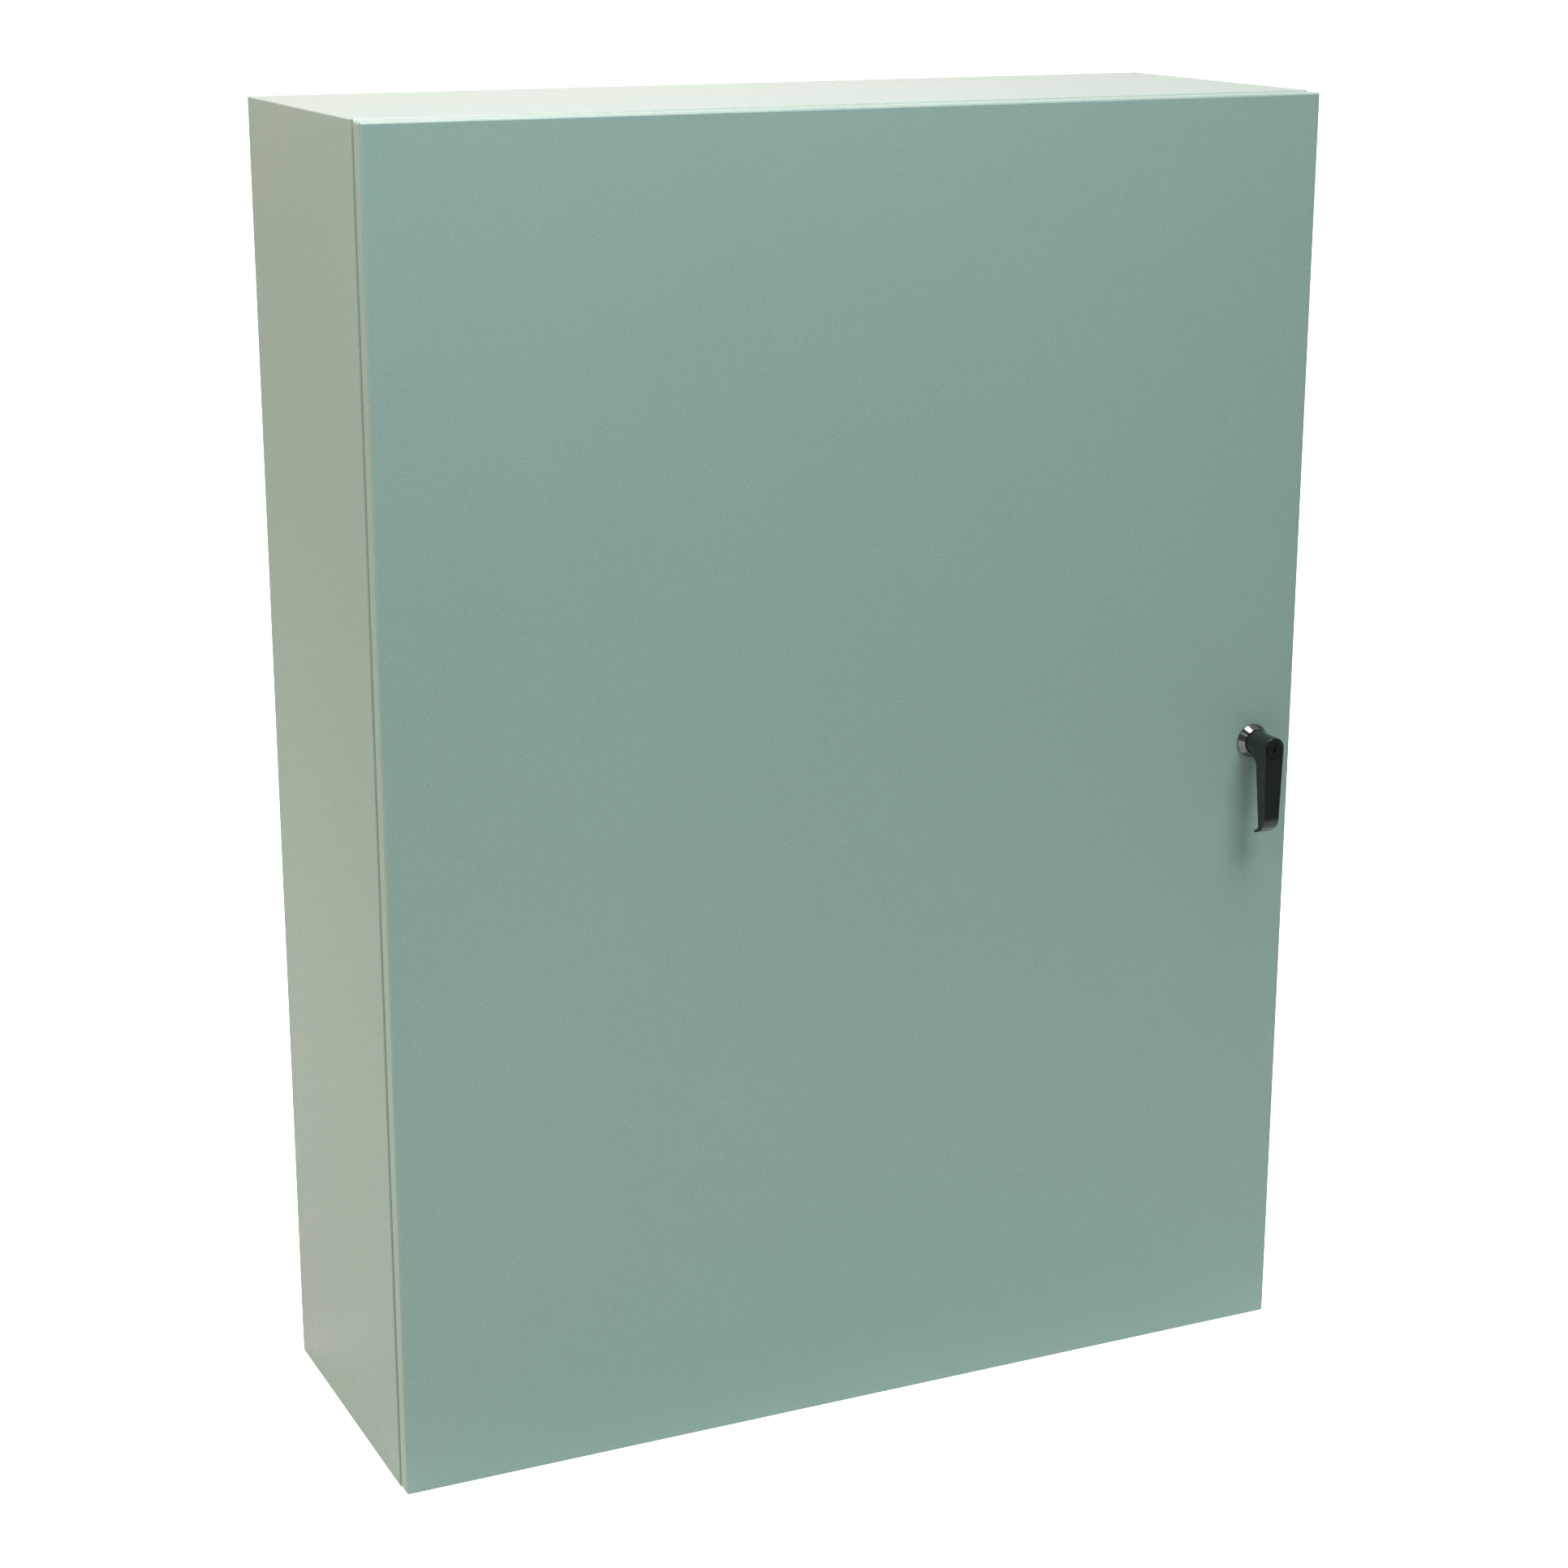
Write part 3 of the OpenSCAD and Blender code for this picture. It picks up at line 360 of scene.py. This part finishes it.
def powder_coat(name, colour, roughness=0.42, peel=0.00006):
    """Fine-textured powder coat: pebbled bump, faint speckle, slow drift in shade."""
    s = Surface(name, colour, roughness)
    speckle = s.ranged(s.noise(0.0016, 2.0, 0.6), 0.0, 1.0, 0.35, 0.65)
    drift = s.noise(0.35, 3.0)
    both = s.math("ADD", s.math("MULTIPLY", speckle, 0.7), s.math("MULTIPLY", drift, 0.3))
    s.set_colour(s.tint(both, 0.90, 1.10))
    s.set_roughness(s.ranged(s.noise(0.004, 3.0), roughness - 0.05, roughness + 0.06))
    s.bump((s.noise(0.0028, 1.0), peel), (s.cells(0.0013, "SMOOTH_F1"), peel * 0.5))
    return s.material


def zinc_plate(name, colour=(0.60, 0.61, 0.62)):
    """Bright zinc plate: a faint yellow and blue cast, drawing lines and soft smears."""
    s = Surface(name, colour, 0.32, 1.0)
    cast = s.mixed(s.ranged(s.noise(0.03, 3.0), 0, 1), (0.58, 0.60, 0.64), (0.64, 0.62, 0.57))
    mottle = s.ranged(s.noise(0.0025, 3.0, 0.6), 0.0, 0.5)
    s.set_colour(s.mixed(mottle, cast, (0.52, 0.53, 0.54)))
    s.set_roughness(s.ranged(s.noise(0.012, 4.0, 0.65), 0.28, 0.42))
    lines = s.noise(0.0006, 2.0, coords=s.stretched((1, 1, 0.06)))
    s.bump((lines, 0.000012), (s.noise(0.002), 0.000015))
    return s.material


def dark_chrome(name):
    """Polished black chrome with faint handling marks."""
    s = Surface(name, (0.20, 0.185, 0.175), 0.12, 1.0)
    smear = s.noise(0.004, 4.0, 0.7)
    s.set_colour(s.tint(smear, 0.82, 1.18))
    s.set_roughness(s.ranged(smear, 0.08, 0.19))
    s.bump((s.noise(0.002), 0.000008))
    return s.material


def drawn_metal(name, bright, tarnish, roughness=0.3, along=(0.05, 1, 1)):
    """Drawn bar with lines along its length and patches of tarnish."""
    s = Surface(name, bright, roughness, 1.0)
    patches = s.ranged(s.noise(0.03, 4.0, 0.55), 0.0, 0.8, 0.35, 0.80)
    s.set_colour(s.mixed(patches, bright, tarnish))
    s.set_roughness(s.ranged(s.noise(0.008, 4.0), roughness - 0.06, roughness + 0.10))
    s.bump((s.noise(0.0005, 2.0, coords=s.stretched(along)), 0.00001))
    return s.material


def moulded(name, colour, roughness=0.5, grain=0.0009, depth=0.00002):
    """Moulded plastic: spark-eroded grain, slight flow marks and a little dust in the shade."""
    s = Surface(name, colour, roughness)
    s.set_colour(s.tint(s.noise(0.012, 4.0, 0.6), 0.90, 1.08))
    s.set_roughness(s.ranged(s.noise(0.006, 3.0), roughness * 0.9, roughness * 1.15))
    s.bump((s.noise(grain, 3.0, 0.6), depth))
    return s.material


def foam(name, colour):
    """Foamed seal: matt skin with fine pores; the colour is darker in the pits, as painted shade.
    """
    s = Surface(name, colour, 0.9)
    pores_and_pit_shade = s.ranged(s.cells(0.0011), 0.0, 1.0, 0.05, 0.5)
    # Painted shade: in the pore pits the colour falls to 0.45 of the skin's, standing in for the
    # shade inside them.
    s.set_colour(s.mixed(pores_and_pit_shade, tuple(c * 0.45 for c in colour), colour))
    s.set_roughness(s.ranged(pores_and_pit_shade, 1.0, 0.82))
    s.bump((pores_and_pit_shade, 0.0002), (s.noise(0.006), 0.0002))
    return s.material


def make_materials():
    return {
        "enclosure_paint": powder_coat("enclosure_paint", (0.262, 0.342, 0.296)),
        "panel_paint": powder_coat("panel_paint", (0.72, 0.72, 0.69), 0.38, 0.00003),
        "zinc_plated_steel": zinc_plate("zinc_plated_steel"),
        "chrome_plate": dark_chrome("chrome_plate"),
        "lock_metal": moulded("lock_metal", (0.010, 0.010, 0.0095), 0.24, 0.0006, 0.000008),
        "handle_coating": moulded("handle_coating", (0.014, 0.014, 0.0135), 0.20, 0.0008, 0.000008),
        "seal_foam": foam("seal_foam", (0.045, 0.045, 0.047)),
        "pocket_plastic": moulded("pocket_plastic", (0.33, 0.35, 0.36), 0.55),
        "duct_plastic": moulded("duct_plastic", (0.40, 0.41, 0.42), 0.5),
        "guide_plastic": moulded("guide_plastic", (0.02, 0.02, 0.02), 0.5),
        "roller_plastic": moulded("roller_plastic", (0.72, 0.70, 0.62), 0.35),
        "breaker_case": moulded("breaker_case", (0.022, 0.023, 0.025), 0.55, 0.0011, 0.00004),
        "toggle_plastic": moulded("toggle_plastic", (0.012, 0.012, 0.013), 0.4),
        "breaker_light": moulded("breaker_light", (0.62, 0.62, 0.59), 0.5),
        "terminal_plastic": moulded("terminal_plastic", (0.24, 0.25, 0.25), 0.5),
        "support_resin": moulded("support_resin", (0.30, 0.035, 0.022), 0.5, 0.0016, 0.00005),
        "copper": drawn_metal("copper", (0.85, 0.42, 0.26), (0.62, 0.27, 0.16), 0.30),
        "brass": drawn_metal("brass", (0.83, 0.63, 0.29), (0.66, 0.48, 0.21), 0.30),
    }


# ------------------------------------------------------------------ shading of the CAD nodes

SMOOTH_ANGLE = math.radians(30)
WELD = 1e-6
# The rounding of each node's sharp edges, in millimetres.
EDGE_ROUND = {
    "main_breaker_case": 0.7,
    "branch_breaker_cases": 0.35,
    "busbar_supports": 0.6,
    "terminal_end_stops": 0.3,
    "hinge_frame_leaves": 0.3,
    "hinge_door_leaves": 0.3,
    "latch_cam": 0.3,
    "upper_rod": 0.4,
    "lower_rod": 0.4,
    "housing_nut": 0.4,
    "panel_nuts": 0.3,
    "lock_plug": 0.4,
    "main_breaker_toggle": 0.6,
    "document_pocket": 0.4,
    "mounting_panel": 0.3,
    "gland_plate": 0.3,
    "back_panel": 0.3,
    "door_stiffeners": 0.25,
    "rod_guides": 0.3,
    "upper_roller": 0.6,
    "lower_roller": 0.6,
}


def smooth_group():
    """Geometry nodes that weld the split corners and shade smooth across shallow edges."""
    group = bpy.data.node_groups.new("smooth_by_angle", "GeometryNodeTree")
    group.interface.new_socket("Geometry", in_out="INPUT", socket_type="NodeSocketGeometry")
    group.interface.new_socket("Geometry", in_out="OUTPUT", socket_type="NodeSocketGeometry")
    nodes, links = group.nodes, group.links
    start = nodes.new("NodeGroupInput")
    end = nodes.new("NodeGroupOutput")
    plain = nodes.new("GeometryNodeRemoveAttribute")
    plain.inputs["Name"].default_value = "custom_normal"
    merge = nodes.new("GeometryNodeMergeByDistance")
    merge.inputs["Distance"].default_value = WELD
    faces = nodes.new("GeometryNodeSetShadeSmooth")
    edges = nodes.new("GeometryNodeSetShadeSmooth")
    edges.domain = "EDGE"
    angle = nodes.new("GeometryNodeInputMeshEdgeAngle")
    shallow = nodes.new("FunctionNodeCompare")
    shallow.operation = "LESS_THAN"
    shallow.inputs["B"].default_value = SMOOTH_ANGLE
    links.new(start.outputs[0], plain.inputs["Geometry"])
    links.new(plain.outputs["Geometry"], merge.inputs["Geometry"])
    links.new(merge.outputs["Geometry"], faces.inputs["Geometry"])
    links.new(faces.outputs["Geometry"], edges.inputs["Geometry"])
    links.new(angle.outputs["Unsigned Angle"], shallow.inputs["A"])
    links.new(shallow.outputs["Result"], edges.inputs["Shade Smooth"])
    links.new(edges.outputs["Geometry"], end.inputs[0])
    return group


def dress_nodes(materials):
    group = smooth_group()
    for name, piece in NODES.items():
        smooth = piece.modifiers.new("smooth", "NODES")
        smooth.node_group = group
        if name in EDGE_ROUND:
            bevel = piece.modifiers.new("round", "BEVEL")
            bevel.width = EDGE_ROUND[name] * MM
            bevel.segments = 3
            bevel.limit_method = "ANGLE"
            bevel.angle_limit = SMOOTH_ANGLE
            weighted = piece.modifiers.new("flat_faces", "WEIGHTED_NORMAL")
            weighted.keep_sharp = True
        slot = piece.material_slots[0]
        slot.material = materials[slot.material.name.split(".")[0]]


# ------------------------------------------------------------------ pieces in place of CAD nodes

GRIP_VOXEL = 0.35 * MM
GRIP_PASSES = 12
GRIP_KEPT = 0.3
SEAL_ROUND = 4.2 * MM


def copied(name, node, body):
    """A piece that starts as a copy of a CAD node's mesh, takes its place and rides on its body."""
    mesh = NODES[node].data.copy()
    mesh.attributes.remove(mesh.attributes["custom_normal"])
    for face in mesh.polygons:
        face.use_smooth = True
    piece = bpy.data.objects.new(name, mesh)
    SCENE.collection.objects.link(piece)
    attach(piece, body)
    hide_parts(node)
    slot = mesh.materials[0].name.split(".")[0]
    mesh.materials[0] = MATERIALS[slot]
    return piece


def settle(piece):
    """The piece's modifiers, applied to its mesh."""
    shaped = piece.evaluated_get(bpy.context.evaluated_depsgraph_get())
    mesh = bpy.data.meshes.new_from_object(shaped)
    piece.modifiers.clear()
    piece.data = mesh


def add_grip():
    """The lever, with every edge rounded as a cast and coated handle has it."""
    grip = copied("handle_grip", "handle_lever", "handle")
    remesh = grip.modifiers.new("remesh", "REMESH")
    remesh.mode = "VOXEL"
    remesh.voxel_size = GRIP_VOXEL
    remesh.use_smooth_shade = True
    smooth = grip.modifiers.new("smooth", "SMOOTH")
    smooth.iterations = GRIP_PASSES
    thin = grip.modifiers.new("thin", "DECIMATE")
    thin.ratio = GRIP_KEPT
    settle(grip)


def add_seal():
    """The door's foamed seal, as a domed bead."""
    seal = copied("door_seal", "door_gasket", "door")
    bead = bmesh.new()
    bead.from_mesh(seal.data)
    bmesh.ops.remove_doubles(bead, verts=bead.verts, dist=WELD)
    crest = max(v.co.y for v in bead.verts)
    rims = [
        edge
        for edge in bead.edges
        if all(abs(v.co.y - crest) < WELD for v in edge.verts)
        and edge.calc_face_angle(0) > SMOOTH_ANGLE
    ]
    bmesh.ops.bevel(bead, geom=rims, offset=SEAL_ROUND, segments=6, profile=0.5, affect="EDGES")
    bmesh.ops.triangulate(bead, faces=[f for f in bead.faces if len(f.verts) > 4])
    bead.to_mesh(seal.data)
    bead.free()


SLOT_HALF = 0.35 * MM
SCREW_EDGE = 0.15 * MM
SCREW_TURN = math.radians(137.5)
BRANCH_POLES = 6
BRANCH_SCREW_IN = 9 * MM
BRANCH_SCREW_DEPTH = 24.4 * MM
TERMINALS = 24
TERMINAL_SCREW_OUT = 8 * MM
TERMINAL_SCREW_DEPTH = 4.6 * MM


def arc(centre, radius, start, end, steps):
    """Points (x, z) around a centre, from the start angle to the end angle."""
    angles = [start + (end - start) * i / steps for i in range(steps + 1)]
    return [(centre.x + radius * math.cos(a), centre.z + radius * math.sin(a)) for a in angles]


def add_prism(mesh, outline, near, far):
    """A closed prism: the outline's (x, z) points, from y = near to y = far."""
    rings = [[mesh.verts.new((x, y, z)) for x, z in outline] for y in (near, far)]
    mesh.faces.new(rings[0])
    mesh.faces.new(rings[1][::-1])
    for i, start in enumerate(rings[0]):
        after = (i + 1) % len(outline)
        mesh.faces.new((rings[0][after], start, rings[1][i], rings[1][after]))


def add_screws(name, spots, radius, rise, step):
    """Slotted screw heads that face the door, each turned its own way, on a shank."""
    mesh = bmesh.new()
    gap = math.asin(SLOT_HALF / radius)
    for index, spot in enumerate(spots):
        for side in (0, math.pi):
            turn = index * SCREW_TURN + side
            half_head = arc(spot, radius, turn + gap, turn + math.pi - gap, 12)
            add_prism(mesh, half_head, spot.y - rise, spot.y)
        shank = arc(spot, radius, 0, 2 * math.pi, 24)[:-1]
        add_prism(mesh, shank, spot.y, spot.y + step)
    bmesh.ops.recalc_face_normals(mesh, faces=mesh.faces)
    data = bpy.data.meshes.new(name)
    mesh.to_mesh(data)
    mesh.free()
    data.materials.append(MATERIALS["zinc_plated_steel"])
    piece = bpy.data.objects.new(name, data)
    SCENE.collection.objects.link(piece)
    bevel = piece.modifiers.new("round", "BEVEL")
    bevel.width = SCREW_EDGE
    bevel.segments = 2
    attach(piece, "enclosure")


def pole_places(low, high, count):
    """The middles of count equal poles side by side between two corners."""
    return [low.x + (high.x - low.x) * (pole + 0.5) / count for pole in range(count)]


def add_branch_screws():
    low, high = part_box("branch_breaker_cases")
    y = low.y + BRANCH_SCREW_DEPTH
    rows = (low.z + BRANCH_SCREW_IN, high.z - BRANCH_SCREW_IN)
    spots = [Vector((x, y, z)) for x in pole_places(low, high, BRANCH_POLES) for z in rows]
    add_screws("branch_screws", spots, 3.1 * MM, 1.2 * MM, 2 * MM)


def add_terminal_screws():
    low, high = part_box("terminal_blocks")
    y = low.y + TERMINAL_SCREW_DEPTH
    middle = (low.z + high.z) / 2
    rows = (middle - TERMINAL_SCREW_OUT, middle + TERMINAL_SCREW_OUT)
    spots = [Vector((x, y, z)) for x in pole_places(low, high, TERMINALS) for z in rows]
    add_screws("terminal_screws", spots, 1.85 * MM, 0.7 * MM, 0.8 * MM)


# ------------------------------------------------------------------ build

SCENE.view_settings.view_transform = "Standard"
add_camera()
add_world()
add_lights()
add_floor()
MATERIALS = make_materials()
add_grip()
add_seal()
add_branch_screws()
add_terminal_screws()
dress_nodes(MATERIALS)
